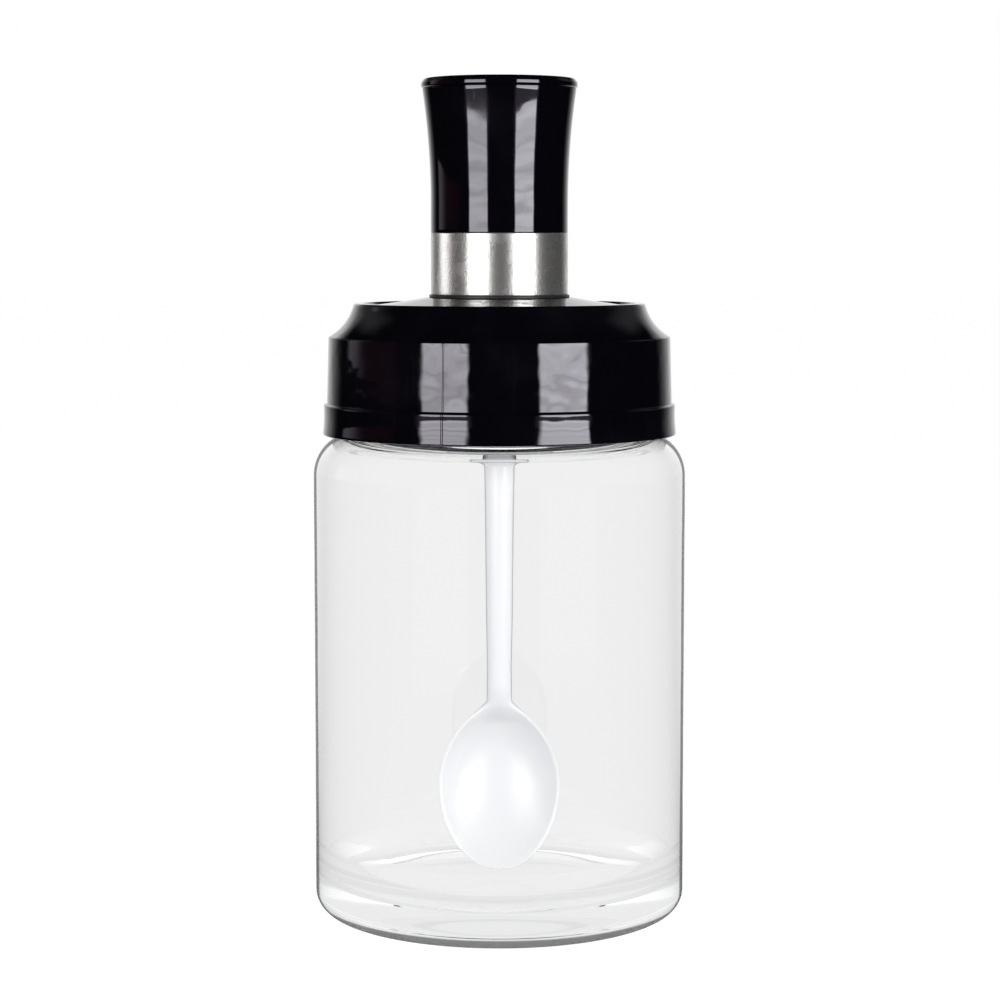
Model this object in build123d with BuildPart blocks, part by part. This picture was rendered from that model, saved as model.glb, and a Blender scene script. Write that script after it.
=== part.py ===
from build123d import *
from math import radians, sin, sqrt
import os

# A glass seasoning jar. Its cap carries a grip on top and a spoon below.
# Sizes are in millimetres. +Z is up, and the origin is where the axis of the jar meets the table.

# Glass jar
jar_radius = 35.0
jar_wall = 2.2
side_height = 83.2  # top of the straight side
shoulder_round = 8.0
shoulder_step = 6.2  # from the side in to the neck
neck_length = 15.8  # from the shoulder up to the rim
neck_fillet = 1.2
rim_round = 0.9
foot_round = 4.1
floor_thickness = 4.4
floor_round = 9.0  # inside, between the floor and the side
push_up_radius = 23.5  # hollow under the floor
push_up_height = 1.2
neck_bead_width = 0.8
neck_bead_height = 1.8
neck_bead_rise = 2.2  # from the shoulder up to the bead

# Ramps on the neck and lugs in the cap, which lock under them
lug_count = 4
first_ramp_angle = 45.0
ramp_depth = 1.2
ramp_height = 2.2
ramp_crest = 0.9  # height of the ramp's outermost face
ramp_arc = 40.0
ramp_tilt = 3.5
ramp_drop = 4.6  # from the rim down to the middle of a ramp
lug_arc = 16.0
lug_height = 1.8
lug_gap = 0.3  # between a lug and the low end of its ramp
root_depth = 0.6  # how far a ramp or a lug goes into the wall that carries it
turn_gap = 0.4  # between the curved faces of the cap and of the glass

# Cap
skirt_wall = 1.7
skirt_draft = 0.36  # growth of the skirt's radius, top to bead
skirt_gap = 0.4  # from the skirt down to the shoulder of the glass
bead_step = 0.6
bead_height = 5.6  # from the foot of the skirt to the top of the bead
bead_slope = 0.5
bead_flare = 0.18  # how far the foot stands out past the bead
bead_waist = 0.22
skirt_edge = 0.35
cove_foot_rise = 0.9  # from the gasket's seat up to the foot of the hollow slope
cove_rise = 5.3
cove_depth = 4.2
cove_sag = 0.62
lip_round = 0.8
lip_width = 1.0
lip_height = 0.5  # above the groove inside it
lip_slope = 0.9
plate_wall = 1.9  # between the groove and the underside
pad_rise = 1.1  # from the lip up to the pad under the grip
pad_border = 0.5
dome_sag = 0.12
seat_chamfer = 0.7
skirt_chamfer = 0.5
plug_wall = 1.3  # ring that reaches into the neck and holds the gasket
plug_depth = 3.6
plug_gap = 1.3  # between that ring and the bore of the neck

# Gasket
gasket_thickness = 1.6
gasket_gap = 0.3
gasket_overhang = 0.5  # past the outside of the neck

# Core, its seal, and the socket for the spoon
seal_thickness = 1.0
seal_radius = 15.0
flange_radius = 16.0
flange_thickness = 2.2
stud_radius = 5.0
hole_gap = 0.3
tube_radius = 6.0
tube_length = 19.8  # from the flange down to the mouth of the socket
socket_depth = 16.0
pilot_depth = 14.0
rib_width = 1.6
rib_reach = 3.8
rib_drop = 6.0
rib_count = 4
first_rib_angle = 45.0

# Grip, steel band and the ring below it
grip_radius = 12.85
grip_wall = 1.7
band_length = 11.5
band_thickness = 0.5
ring_overhang = 0.33
ring_height = 0.5
ring_bore = 9.5
press_gap = 0.05  # between parts that are pushed together
spigot_wall = 1.6
flare_rise = 5.5  # from the band up to where the grip starts to flare
flare_length = 21.2
flare_depth = 1.55
grip_edge = 0.15
grip_floor_drop = 2.1  # from the top of the band down to the top of the grip's floor
grip_floor_wall = 2.4
cap_seat_depth = 4.2
cap_seat_wall = 1.4
grip_cap_overhang = 0.22
grip_cap_edge_height = 0.35
grip_cap_height = 1.85
grip_cap_bevel = 0.56
grip_cap_crown = 0.3
grip_cap_wall = 1.6

# Screw and washer
screw_radius = 1.5
screw_hole_gap = 0.4
screw_depth = 13.0  # in the stud
screw_head_radius = 3.2
screw_head_height = 2.2
screw_head_edge = 0.75  # height of the straight side of the head
screw_head_sag = 0.36
recess_length = 3.6
recess_width = 0.9
recess_depth = 1.2
washer_radius = 4.2
washer_thickness = 0.8

# Spoon
rod_radius_top = 2.85
rod_radius_low = 2.34
root_fillet = 2.0
collar_radius = 5.6
collar_height = 1.5
shank_radius = 3.2
shank_length = 15.0
bowl_length = 31.8
bowl_width = 22.94
bowl_depth = 5.8
bowl_wall = 1.0
bowl_lead = 1.2  # how far the rim of the bowl lies in front of the rod's axis
tip_gap = 2.35  # from the floor of the jar up to the tip
blend_length = 4.0  # where the rod widens into the bowl
blend_width = 3.4
tail_width = 5.4
tail_depth = 7.0


def shoulder_at(radius):
    """Height of the outside of the glass shoulder at a radius."""
    across = radius - (jar_radius - shoulder_round)
    return side_height + sqrt(shoulder_round**2 - across**2)


# Heights and radii that follow from the sizes above
jar_inner = jar_radius - jar_wall
neck_radius = jar_radius - shoulder_step
neck_inner = neck_radius - jar_wall
neck_foot = shoulder_at(neck_radius)
rim = neck_foot + neck_length
floor_top = push_up_height + floor_thickness
shoulder_center = jar_radius - shoulder_round
inner_shoulder = shoulder_round - jar_wall
inner_neck_foot = side_height + sqrt(inner_shoulder**2 - (neck_inner - shoulder_center) ** 2)

ramp_radius = neck_radius + ramp_depth
ramp_middle = rim - ramp_drop
ramp_low = ramp_middle - ramp_height / 2 - ramp_radius * sin(radians(ramp_arc / 2)) * sin(radians(ramp_tilt))
lug_top = ramp_low - lug_gap
lug_radius = neck_radius + turn_gap

skirt_inner = ramp_radius + turn_gap
skirt_radius = skirt_inner + skirt_wall
seat = rim + gasket_thickness
skirt_foot = shoulder_at(skirt_inner) + skirt_gap
bead_radius = skirt_radius + skirt_draft + bead_step
bead_top = skirt_foot + bead_height
cove_foot = seat + cove_foot_rise
cove_top = cove_foot + cove_rise
lip_radius = skirt_radius - skirt_edge - cove_depth
lip_top = cove_top + lip_round
lip_inner = lip_radius - lip_round - lip_width
groove = lip_top - lip_height
plate_under = groove - plate_wall
pad_top = lip_top + pad_rise
plug_outer = neck_inner - plug_gap
plug_inner = plug_outer - plug_wall

band_foot = pad_top + ring_height
band_top = band_foot + band_length
ring_radius = grip_radius + ring_overhang
spigot_radius = grip_radius - band_thickness - press_gap
grip_floor = band_top - grip_floor_drop
stud_top = grip_floor - grip_floor_wall
flare_foot = band_top + flare_rise
grip_top = flare_foot + flare_length
grip_top_radius = grip_radius + flare_depth
cap_seat = grip_top - cap_seat_depth
cap_seat_radius = grip_top_radius - cap_seat_wall

flange_top = plate_under - seal_thickness
flange_foot = flange_top - flange_thickness
socket_mouth = flange_foot - tube_length
socket_radius = shank_radius + press_gap
bolt_hole_radius = screw_radius + screw_hole_gap

tip = floor_top + tip_gap
bowl_middle = tip + bowl_length / 2
bowl_top = tip + bowl_length
collar_foot = socket_mouth - collar_height
rod_foot = bowl_top + blend_length


def upright_plane(angle, height=0.0, tilt=0.0, turn=0.0):
    """Plane through the axis of a ring that leans by tilt about the radius at this angle.

    The plane's x runs outwards at turn degrees from that radius and its y runs up the ring's axis.
    """
    ring = Location((0, 0, height), (0, 0, angle)) * Location((0, 0, 0), (tilt, 0, 0))
    return Plane(ring * Location((0, 0, 0), (0, 0, turn)) * Location((0, 0, 0), (90, 0, 0)))


def ring_axis(plane):
    """Axis that an upright plane turns about."""
    return Axis(plane.origin, plane.y_dir)


def write_step(piece, name):
    """Label a finished piece and write it to its own file."""
    piece.label = name
    export_step(piece, f"parts/{name}.step")


os.makedirs("parts", exist_ok=True)

# Glass jar: a thick floor with a hollow below it, a straight side, a round shoulder and a neck
with BuildPart() as glass_jar:
    with BuildSketch(Plane.XZ) as jar_section:
        with BuildLine():
            TangentArc((0, push_up_height), (push_up_radius, 0), tangent=(1, 0))
            Line((push_up_radius, 0), (jar_radius - foot_round, 0))
            RadiusArc((jar_radius - foot_round, 0), (jar_radius, foot_round), -foot_round)
            Line((jar_radius, foot_round), (jar_radius, side_height))
            RadiusArc((jar_radius, side_height), (neck_radius, neck_foot), -shoulder_round)
            Polyline(
                (neck_radius, neck_foot),
                (neck_radius, rim),
                (neck_inner, rim),
                (neck_inner, inner_neck_foot),
            )
            RadiusArc((neck_inner, inner_neck_foot), (jar_inner, side_height), inner_shoulder)
            Line((jar_inner, side_height), (jar_inner, floor_top + floor_round))
            RadiusArc((jar_inner, floor_top + floor_round), (jar_inner - floor_round, floor_top), floor_round)
            Polyline((jar_inner - floor_round, floor_top), (0, floor_top), (0, push_up_height))
        make_face()
        fillet(jar_section.vertices().group_by(Axis.Y)[-1], rim_round)
        neck_corners = [(neck_radius, neck_foot), (neck_inner, inner_neck_foot)]
        for corner in neck_corners:
            fillet(jar_section.vertices().sort_by_distance(corner)[0], neck_fillet)
    revolve(axis=Axis.Z)
    with BuildSketch(Plane.XZ) as bead_section:
        with Locations((neck_radius, neck_foot + neck_bead_rise)):
            Ellipse(neck_bead_width, neck_bead_height / 2)
    revolve(axis=Axis.Z)
    for number in range(lug_count):
        middle = first_ramp_angle + number * 360 / lug_count
        start = upright_plane(middle, ramp_middle, ramp_tilt, -ramp_arc / 2)
        with BuildSketch(start) as ramp_section:
            with BuildLine():
                Polyline(
                    (neck_radius - root_depth, -ramp_height / 2),
                    (ramp_radius - ramp_depth / 2, -ramp_height / 2),
                    (ramp_radius, -ramp_crest / 2),
                    (ramp_radius, ramp_crest / 2),
                    (neck_radius - root_depth, ramp_height / 2),
                    close=True,
                )
            make_face()
        revolve(axis=ring_axis(start), revolution_arc=ramp_arc)
write_step(glass_jar.part, "glass_jar")

# Gasket between the rim of the glass and the cap
with BuildPart() as rim_gasket:
    with BuildSketch(Plane.XY.offset(rim)):
        Circle(neck_radius + gasket_overhang)
        Circle(plug_outer + gasket_gap, mode=Mode.SUBTRACT)
    extrude(amount=gasket_thickness)
write_step(rim_gasket.part, "rim_gasket")

# Cap: skirt with a bead at its foot, a hollow slope, a lip, and a dome up to the pad for the grip
with BuildPart() as lid_cap:
    with BuildSketch(Plane.XZ) as cap_section:
        with BuildLine():
            hole_radius = stud_radius + hole_gap
            Polyline(
                (ring_radius + pad_border, pad_top),
                (hole_radius, pad_top),
                (hole_radius, plate_under),
                (plug_inner, plate_under),
                (plug_inner, seat - plug_depth),
                (plug_outer, seat - plug_depth),
                (plug_outer, seat),
                (skirt_inner - seat_chamfer, seat),
                (skirt_inner, seat - seat_chamfer),
                (skirt_inner, skirt_foot + skirt_chamfer),
                (skirt_inner + skirt_chamfer, skirt_foot),
                (bead_radius + bead_flare, skirt_foot),
            )
            ThreePointArc(
                (bead_radius + bead_flare, skirt_foot),
                (bead_radius + bead_flare / 2 - bead_waist, skirt_foot + bead_height / 2),
                (bead_radius, bead_top),
            )
            Polyline(
                (bead_radius, bead_top),
                (skirt_radius + skirt_draft, bead_top + bead_slope),
                (skirt_radius, cove_foot - skirt_edge),
                (skirt_radius - skirt_edge, cove_foot),
            )
            SagittaArc((skirt_radius - skirt_edge, cove_foot), (lip_radius, cove_top), cove_sag)
            RadiusArc((lip_radius, cove_top), (lip_radius - lip_round, lip_top), -lip_round)
            Polyline((lip_radius - lip_round, lip_top), (lip_inner, lip_top), (lip_inner - lip_slope, groove))
            dome_middle = (lip_inner - lip_slope + ring_radius + pad_border) / 2
            ThreePointArc(
                (lip_inner - lip_slope, groove),
                (dome_middle, (groove + pad_top) / 2 - dome_sag),
                (ring_radius + pad_border, pad_top),
            )
        make_face()
    revolve(axis=Axis.Z)
    for number in range(lug_count):
        middle = first_ramp_angle + number * 360 / lug_count - (ramp_arc - lug_arc) / 2
        start = upright_plane(middle, lug_top, turn=-lug_arc / 2)
        with BuildSketch(start) as lug_section:
            with BuildLine():
                Polyline(
                    (skirt_inner + root_depth, 0),
                    (lug_radius, 0),
                    (lug_radius, -lug_height / 2),
                    (skirt_inner + root_depth, -lug_height),
                    close=True,
                )
            make_face()
        revolve(axis=ring_axis(start), revolution_arc=lug_arc)
write_step(lid_cap.part, "lid_cap")

# Seal between the flange of the core and the underside of the cap
with BuildPart() as core_seal:
    with BuildSketch(Plane.XY.offset(flange_top)):
        Circle(seal_radius)
        Circle(hole_radius, mode=Mode.SUBTRACT)
    extrude(amount=seal_thickness)
write_step(core_seal.part, "core_seal")

# Core: flange under the cap, stud up into the grip, tube down to the mouth of the spoon's socket
with BuildPart() as spoon_core:
    with BuildSketch(Plane.XZ):
        with BuildLine():
            Polyline(
                (socket_radius, socket_mouth),
                (tube_radius, socket_mouth),
                (tube_radius, flange_foot),
                (flange_radius, flange_foot),
                (flange_radius, flange_top),
                (stud_radius, flange_top),
                (stud_radius, stud_top),
                (screw_radius + press_gap, stud_top),
                (screw_radius + press_gap, stud_top - pilot_depth),
                (0, stud_top - pilot_depth),
                (0, socket_mouth + socket_depth),
                (socket_radius, socket_mouth + socket_depth),
                close=True,
            )
        make_face()
    revolve(axis=Axis.Z)
    for number in range(rib_count):
        start = upright_plane(first_rib_angle + number * 360 / rib_count, flange_foot)
        with BuildSketch(start):
            with BuildLine():
                Polyline(
                    (tube_radius - root_depth, root_depth),
                    (tube_radius + rib_reach, root_depth),
                    (tube_radius + rib_reach, 0),
                    (tube_radius, -rib_drop),
                    (tube_radius - root_depth, -rib_drop),
                    close=True,
                )
            make_face()
        extrude(amount=rib_width / 2, both=True)
write_step(spoon_core.part, "spoon_core")

# Thin ring on the cap's pad, which the steel band and the grip stand on
with BuildPart() as band_ring:
    with BuildSketch(Plane.XY.offset(pad_top)):
        Circle(ring_radius)
        Circle(ring_bore, mode=Mode.SUBTRACT)
    extrude(amount=ring_height)
write_step(band_ring.part, "band_ring")

# Steel band round the spigot of the grip
with BuildPart() as steel_band:
    with BuildSketch(Plane.XY.offset(band_foot)):
        Circle(grip_radius)
        Circle(grip_radius - band_thickness, mode=Mode.SUBTRACT)
    extrude(amount=band_length)
write_step(steel_band.part, "steel_band")

# Grip: spigot inside the band, a floor for the screw, and a hollow body that flares to its top
with BuildPart() as grip_shell:
    with BuildSketch(Plane.XZ):
        with BuildLine():
            spigot_bore = spigot_radius - spigot_wall
            hollow_top_radius = cap_seat_radius - grip_wall / 2
            Polyline(
                (hollow_top_radius, cap_seat),
                (spigot_bore, band_top + grip_wall),
                (spigot_bore, grip_floor),
                (bolt_hole_radius, grip_floor),
                (bolt_hole_radius, stud_top),
                (spigot_bore, stud_top),
                (spigot_bore, band_foot),
                (spigot_radius, band_foot),
                (spigot_radius, band_top),
                (grip_radius - grip_edge, band_top),
                (grip_radius, band_top + grip_edge),
                (grip_radius, flare_foot),
            )
            TangentArc((grip_radius, flare_foot), (grip_top_radius, grip_top), tangent=(0, 1))
            Polyline(
                (grip_top_radius, grip_top),
                (cap_seat_radius, grip_top),
                (cap_seat_radius, cap_seat),
                (hollow_top_radius, cap_seat),
            )
        make_face()
    revolve(axis=Axis.Z)
write_step(grip_shell.part, "grip_shell")

# Washer on the floor of the grip
with BuildPart() as grip_washer:
    with BuildSketch(Plane.XY.offset(grip_floor)):
        Circle(washer_radius)
        Circle(bolt_hole_radius, mode=Mode.SUBTRACT)
    extrude(amount=washer_thickness)
write_step(grip_washer.part, "grip_washer")

# Screw: a domed head with a cross recess, and a shaft down into the stud of the core
head_foot = grip_floor + washer_thickness
head_top = head_foot + screw_head_height
with BuildPart() as grip_screw:
    with BuildSketch(Plane.XZ):
        with BuildLine():
            Polyline(
                (0, head_top),
                (0, stud_top - screw_depth),
                (screw_radius / 2, stud_top - screw_depth),
                (screw_radius, stud_top - screw_depth + screw_radius),
                (screw_radius, head_foot),
                (screw_head_radius, head_foot),
                (screw_head_radius, head_foot + screw_head_edge),
            )
            SagittaArc((screw_head_radius, head_foot + screw_head_edge), (0, head_top), -screw_head_sag)
        make_face()
    revolve(axis=Axis.Z)
    with BuildSketch(Plane.XY.offset(head_top)):
        Rectangle(recess_length, recess_width)
        Rectangle(recess_width, recess_length)
    extrude(amount=-recess_depth, mode=Mode.SUBTRACT)
write_step(grip_screw.part, "grip_screw")

# Disc that closes the top of the grip, with a spigot inside it
with BuildPart() as grip_cap:
    with BuildSketch(Plane.XZ):
        with BuildLine():
            grip_cap_radius = grip_top_radius + grip_cap_overhang
            grip_cap_top = grip_top + grip_cap_height
            plug_radius = cap_seat_radius - press_gap
            Polyline(
                (0, grip_cap_top + grip_cap_crown),
                (0, grip_top),
                (plug_radius - grip_cap_wall, grip_top),
                (plug_radius - grip_cap_wall, cap_seat),
                (plug_radius, cap_seat),
                (plug_radius, grip_top),
                (grip_top_radius - grip_edge, grip_top),
                (grip_cap_radius, grip_top + grip_cap_edge_height),
            )
            TangentArc(
                (grip_cap_radius, grip_top + grip_cap_edge_height),
                (grip_cap_radius - grip_cap_bevel, grip_cap_top),
                tangent=(0, 1),
            )
            Line((grip_cap_radius - grip_cap_bevel, grip_cap_top), (0, grip_cap_top + grip_cap_crown))
        make_face()
    revolve(axis=Axis.Z)
write_step(grip_cap.part, "grip_cap")

# Spoon. The bowl is a shell between two ellipsoids, cut off along its rim. Its cross-section is
# a round arc of the bowl's width and depth, and the outline of the rim is an ellipse.
arc_radius = ((bowl_width / 2) ** 2 + bowl_depth**2) / (2 * bowl_depth)
rim_offset = arc_radius - bowl_depth
arc_length = bowl_length / 2 * arc_radius / (bowl_width / 2)
bowl_plane = Plane((0, -bowl_lead - rim_offset, bowl_middle), x_dir=(1, 0, 0), z_dir=(0, -1, 0))


def half_ellipse(radius, length):
    """Right half of an ellipse that stands on the plane in use."""
    Ellipse(radius, length)
    with Locations((-radius, 0)):
        Rectangle(2 * radius, 2 * length, mode=Mode.SUBTRACT)


with BuildPart() as spoon:
    with BuildSketch(bowl_plane):
        half_ellipse(arc_radius, arc_length)
    revolve(axis=Axis(bowl_plane.origin, (0, 0, 1)))
    split(bisect_by=Plane.XZ.offset(bowl_lead), keep=Keep.BOTTOM)
    with BuildSketch(Plane.XY.offset(bowl_top - tail_depth)):
        with Locations((0, (bowl_depth - bowl_lead) / 3)):
            Ellipse(tail_width, bowl_wall)
    with BuildSketch(Plane.XY.offset(bowl_top)):
        Ellipse(blend_width, rod_radius_low - bowl_wall / 4)
    with BuildSketch(Plane.XY.offset(rod_foot)):
        Circle(rod_radius_low)
    loft()
    with BuildSketch(Plane.XZ):
        with BuildLine():
            Polyline(
                (0, rod_foot),
                (rod_radius_low, rod_foot),
                (rod_radius_top, collar_foot - root_fillet),
            )
            RadiusArc(
                (rod_radius_top, collar_foot - root_fillet),
                (rod_radius_top + root_fillet, collar_foot),
                root_fillet,
            )
            Polyline(
                (rod_radius_top + root_fillet, collar_foot),
                (collar_radius, collar_foot),
                (collar_radius, socket_mouth),
                (shank_radius, socket_mouth),
                (shank_radius, socket_mouth + shank_length),
                (0, socket_mouth + shank_length),
                (0, rod_foot),
            )
        make_face()
    revolve(axis=Axis.Z)
    with BuildSketch(bowl_plane):
        half_ellipse(arc_radius - bowl_wall, arc_length - bowl_wall)
    revolve(axis=Axis(bowl_plane.origin, (0, 0, 1)), mode=Mode.SUBTRACT)
write_step(spoon.part, "spoon")
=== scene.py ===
import bmesh
import bpy
from math import atan2, cos, degrees, pi, radians, sin, sqrt, tan
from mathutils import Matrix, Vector, noise


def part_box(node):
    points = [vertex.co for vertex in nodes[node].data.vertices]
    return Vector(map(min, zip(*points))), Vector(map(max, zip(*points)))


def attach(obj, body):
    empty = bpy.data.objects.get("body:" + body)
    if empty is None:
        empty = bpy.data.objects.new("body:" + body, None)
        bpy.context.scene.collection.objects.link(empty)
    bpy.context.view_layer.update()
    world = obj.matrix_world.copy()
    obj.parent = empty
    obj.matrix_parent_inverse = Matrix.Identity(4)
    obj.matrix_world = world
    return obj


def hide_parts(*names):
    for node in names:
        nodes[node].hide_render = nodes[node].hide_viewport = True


# A glass seasoning jar with a gloss black cap, a steel band under its grip, and a milky spoon.
# Sizes are in millimetres up to the point where a mesh or a lamp is made.
# Materials, the floor and the camera are in metres.

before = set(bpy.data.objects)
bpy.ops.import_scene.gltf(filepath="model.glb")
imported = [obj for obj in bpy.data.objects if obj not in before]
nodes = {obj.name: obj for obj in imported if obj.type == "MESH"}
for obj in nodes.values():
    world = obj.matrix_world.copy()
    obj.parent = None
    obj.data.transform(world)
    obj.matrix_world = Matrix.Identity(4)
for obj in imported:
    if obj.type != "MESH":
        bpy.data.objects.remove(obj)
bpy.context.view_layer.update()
mm = 0.001


def low(node):
    """Lowest height of a CAD node."""
    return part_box(node)[0].z / mm


def high(node):
    """Highest height of a CAD node."""
    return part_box(node)[1].z / mm


def reach(node):
    """Largest radius of a CAD node about the jar's axis."""
    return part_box(node)[1].x / mm


# Shader nodes


def add_node(tree, kind, **settings):
    node = tree.nodes.new(kind)
    for name, value in settings.items():
        setattr(node, name, value)
    return node


def feed(tree, value, socket):
    """Link a socket or write a number or a colour."""
    if isinstance(value, bpy.types.NodeSocket):
        tree.links.new(value, socket)
    elif isinstance(value, tuple) and len(value) == 3 and socket.type == "RGBA":
        socket.default_value = (*value, 1)
    else:
        socket.default_value = value


def maths(tree, operation, *values):
    node = add_node(tree, "ShaderNodeMath", operation=operation)
    for number, value in enumerate(values):
        feed(tree, value, node.inputs[number])
    return node.outputs[0]


def ramp(tree, value, start, end, first=0.0, last=1.0):
    """Number that goes smoothly from first to last as the value goes from start to end."""
    node = add_node(tree, "ShaderNodeMapRange", interpolation_type="SMOOTHSTEP")
    for number, given in enumerate((value, start, end, first, last)):
        feed(tree, given, node.inputs[number])
    return node.outputs[0]


def between(tree, value, start, end, soft):
    """Mask that is 1 where the value lies between start and end, with soft sides."""
    rise = ramp(tree, value, start - soft / 2, start + soft / 2)
    fall = ramp(tree, value, end - soft / 2, end + soft / 2, 1.0, 0.0)
    return maths(tree, "MULTIPLY", rise, fall)


def blend(tree, share, first, second):
    """Colour between two colours."""
    node = add_node(tree, "ShaderNodeMix", data_type="RGBA")
    for number, value in ((0, share), (6, first), (7, second)):
        feed(tree, value, node.inputs[number])
    return node.outputs[2]


def split_xyz(tree, vector):
    node = add_node(tree, "ShaderNodeSeparateXYZ")
    feed(tree, vector, node.inputs[0])
    return node.outputs


def plain_shader(tree, kind, colour, strength=None):
    """Shader with a colour and, where it has one, a strength or a density."""
    shader = add_node(tree, kind)
    feed(tree, colour, shader.inputs[0])
    if strength is not None:
        feed(tree, strength, shader.inputs[1])
    return shader.outputs[0]


def mix_shaders(tree, share, first, second):
    node = add_node(tree, "ShaderNodeMixShader")
    for number, value in enumerate((share, first, second)):
        feed(tree, value, node.inputs[number])
    return node.outputs[0]


def noise_at(tree, place, scale, detail=0.0):
    texture = add_node(tree, "ShaderNodeTexNoise")
    for label, value in (("Vector", place), ("Scale", scale), ("Detail", detail)):
        feed(tree, value, texture.inputs[label])
    return texture.outputs["Fac"]


def make_group(name, inputs, outputs):
    """Node group. Returns it with its input and output nodes."""
    tree = bpy.data.node_groups.new(name, "ShaderNodeTree")
    for label, value in inputs.items():
        kind = "NodeSocketVector" if value is None else "NodeSocketFloat"
        socket = tree.interface.new_socket(label, in_out="INPUT", socket_type=kind)
        if value is not None:
            socket.default_value = value
    for label in outputs:
        tree.interface.new_socket(label, in_out="OUTPUT", socket_type="NodeSocketFloat")
    return tree, tree.nodes.new("NodeGroupInput").outputs, tree.nodes.new("NodeGroupOutput").inputs


def make_unevenness():
    """Height in metres of the soft unevenness of a moulded, blown or blasted surface."""
    tree, given, result = make_group(
        "unevenness", {"Place": None, "Length": 0.008, "Depth": 0.00002, "Detail": 1.0}, ["Height"]
    )
    scale = maths(tree, "DIVIDE", 1.0, given["Length"])
    swell = noise_at(tree, given["Place"], scale, given["Detail"])
    feed(tree, maths(tree, "MULTIPLY", swell, given["Depth"]), result["Height"])
    return tree


def make_handling():
    """Mask of the smudges and hairlines that a handled surface picks up."""
    hairline_scale = (1400, 1400, 90)
    hairline_lean = (0.35, 0.2, 0.0)
    tree, given, result = make_group(
        "handling", {"Place": None, "Smudge Length": 0.012, "Hairlines": 0.3}, ["Mask"]
    )
    smudge = noise_at(tree, given["Place"], maths(tree, "DIVIDE", 1.0, given["Smudge Length"]), 4.0)
    smudge = ramp(tree, smudge, 0.45, 0.75)
    leaning = add_node(tree, "ShaderNodeMapping")
    leaning.inputs["Scale"].default_value = hairline_scale
    leaning.inputs["Rotation"].default_value = hairline_lean
    feed(tree, given["Place"], leaning.inputs["Vector"])
    hairline = ramp(tree, noise_at(tree, leaning.outputs[0], 1.0), 0.7, 0.76)
    total = maths(tree, "ADD", smudge, maths(tree, "MULTIPLY", hairline, given["Hairlines"]))
    feed(tree, maths(tree, "MINIMUM", total, 1.0), result["Mask"])
    return tree


def make_brushing():
    """Brushing that runs round the axis: its height in metres, and its lines from 0 to 1."""
    scale_round, scale_up = 6.0, 8000.0
    tree, given, result = make_group("brushing", {"Place": None, "Depth": 0.000002}, ["Height", "Lines"])
    split = split_xyz(tree, given["Place"])
    turn = maths(tree, "ARCTAN2", split[1], split[0])
    place = add_node(tree, "ShaderNodeCombineXYZ")
    feed(tree, maths(tree, "MULTIPLY", turn, scale_round), place.inputs[0])
    feed(tree, maths(tree, "MULTIPLY", split[2], scale_up), place.inputs[1])
    lines = noise_at(tree, place.outputs[0], 1.0, 3.0)
    feed(tree, maths(tree, "MULTIPLY", lines, given["Depth"]), result["Height"])
    feed(tree, lines, result["Lines"])
    return tree


unevenness = make_unevenness()
handling = make_handling()
brushing = make_brushing()

# Materials


def use_group(tree, group, place, **values):
    """Group node with its place and its own values. Returns its outputs."""
    node = add_node(tree, "ShaderNodeGroup", node_tree=group)
    feed(tree, place, node.inputs["Place"])
    for name, value in values.items():
        node.inputs[name.replace("_", " ").title()].default_value = value
    return node.outputs


def add_principled(tree, **plain):
    """Principled BSDF that has these plain values."""
    shader = add_node(tree, "ShaderNodeBsdfPrincipled")
    for label, value in plain.items():
        feed(tree, value, shader.inputs[label.replace("_", " ")])
    return shader


def start_material(name, **plain):
    """Material with one Principled BSDF that has these plain values.

    Returns it, its tree, the BSDF and the place.
    """
    material = bpy.data.materials.new(name)
    material.use_nodes = True
    tree = material.node_tree
    tree.nodes.clear()
    shader = add_principled(tree, **plain)
    output = add_node(tree, "ShaderNodeOutputMaterial")
    feed(tree, shader.outputs[0], output.inputs[0])
    return material, tree, shader, add_node(tree, "ShaderNodeTexCoord").outputs["Object"]


def add_bump(tree, shader, height):
    """Bump from a height in metres."""
    bump = add_node(tree, "ShaderNodeBump")
    bump.inputs["Strength"].default_value = 1.0
    bump.inputs["Distance"].default_value = 1.0
    feed(tree, height, bump.inputs["Height"])
    feed(tree, bump.outputs[0], shader.inputs["Normal"])


def wear(tree, shader, mask, colours, roughness):
    """Colour and roughness that change with a mask of wear."""
    feed(tree, blend(tree, mask, *colours), shader.inputs["Base Color"])
    feed(tree, ramp(tree, mask, 0.0, 1.0, *roughness), shader.inputs["Roughness"])


def make_gloss_black():
    waves_full, waves_faint = 0.114, 0.122  # heights between which the waves fade, as the grip is truer
    material, tree, shader, place = start_material(
        "gloss_black", IOR=1.65, Specular_Tint=(0.94, 0.92, 1.0)
    )
    mask = use_group(tree, handling, place, smudge_length=0.014, hairlines=0.35)["Mask"]
    wear(tree, shader, mask, ((0.0016, 0.0014, 0.0026), (0.0034, 0.0032, 0.0048)), (0.035, 0.1))
    waves = use_group(tree, unevenness, place, length=0.005, depth=0.00007, detail=1.0)["Height"]
    fade = ramp(tree, split_xyz(tree, place)[2], waves_full, waves_faint, 1.0, 0.35)
    waves = maths(tree, "MULTIPLY", waves, fade)
    grain = use_group(tree, unevenness, place, length=0.0008, depth=0.0000006)["Height"]
    add_bump(tree, shader, maths(tree, "ADD", waves, grain))
    return material


def make_satin_black():
    material, tree, shader, place = start_material("satin_black")
    mask = use_group(tree, handling, place, smudge_length=0.006, hairlines=0.2)["Mask"]
    wear(tree, shader, mask, ((0.018, 0.018, 0.02), (0.03, 0.03, 0.032)), (0.35, 0.5))
    add_bump(tree, shader, use_group(tree, unevenness, place, length=0.0004, depth=0.00001)["Height"])
    return material


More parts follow.
